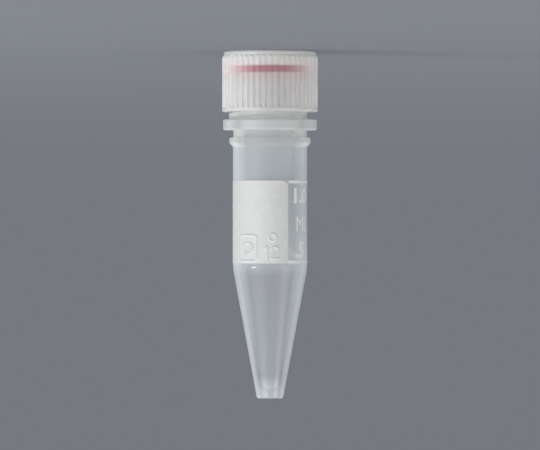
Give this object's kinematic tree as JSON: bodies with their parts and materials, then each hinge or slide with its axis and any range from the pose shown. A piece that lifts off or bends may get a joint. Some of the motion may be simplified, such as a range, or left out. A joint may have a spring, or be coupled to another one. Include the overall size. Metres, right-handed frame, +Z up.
{
  "type": "cryovial",
  "caption": "Conical screw-cap cryovial in translucent polypropylene, with a ribbed cap, a silicone seal, a collar, a white writing panel and volume marks.",
  "frame": {"origin": "on the table, under the axis of the closed vial, which stands on its cap", "axes": "+Z up, along the vial's axis from the cap to the tube's tip, and -Y out of the writing panel, which is upside down in this pose"},
  "size_m": [0.0132, 0.0132, 0.0477],
  "materials": {
    "tube_plastic": "natural translucent polypropylene, satin",
    "cap_plastic": "natural translucent polypropylene, frosted, with fine grip ribs",
    "silicone": "matt pink silicone",
    "print_white": "matt white screen-printing ink"
  },
  "bodies": {
    "cap": {"cap": "cap_plastic"},
    "seal": {"seal_washer": "silicone"},
    "tube": {"tube": "tube_plastic"}
  },
  "joints": [
    {"name": "thread_turn", "type": "hinge", "parent": "cap", "child": "seal", "pos_m": [0, 0, 0.00256], "axis": [0, 0, 1], "range_deg": [0, 810]},
    {"name": "thread_rise", "type": "slide", "parent": "seal", "child": "tube", "axis": [0, 0, 1], "range_m": [0, 0.0045]}
  ],
  "couplings": [
    {"joint": "thread_turn", "follows": "thread_rise", "rad_per_m": 3141.6}
  ]
}
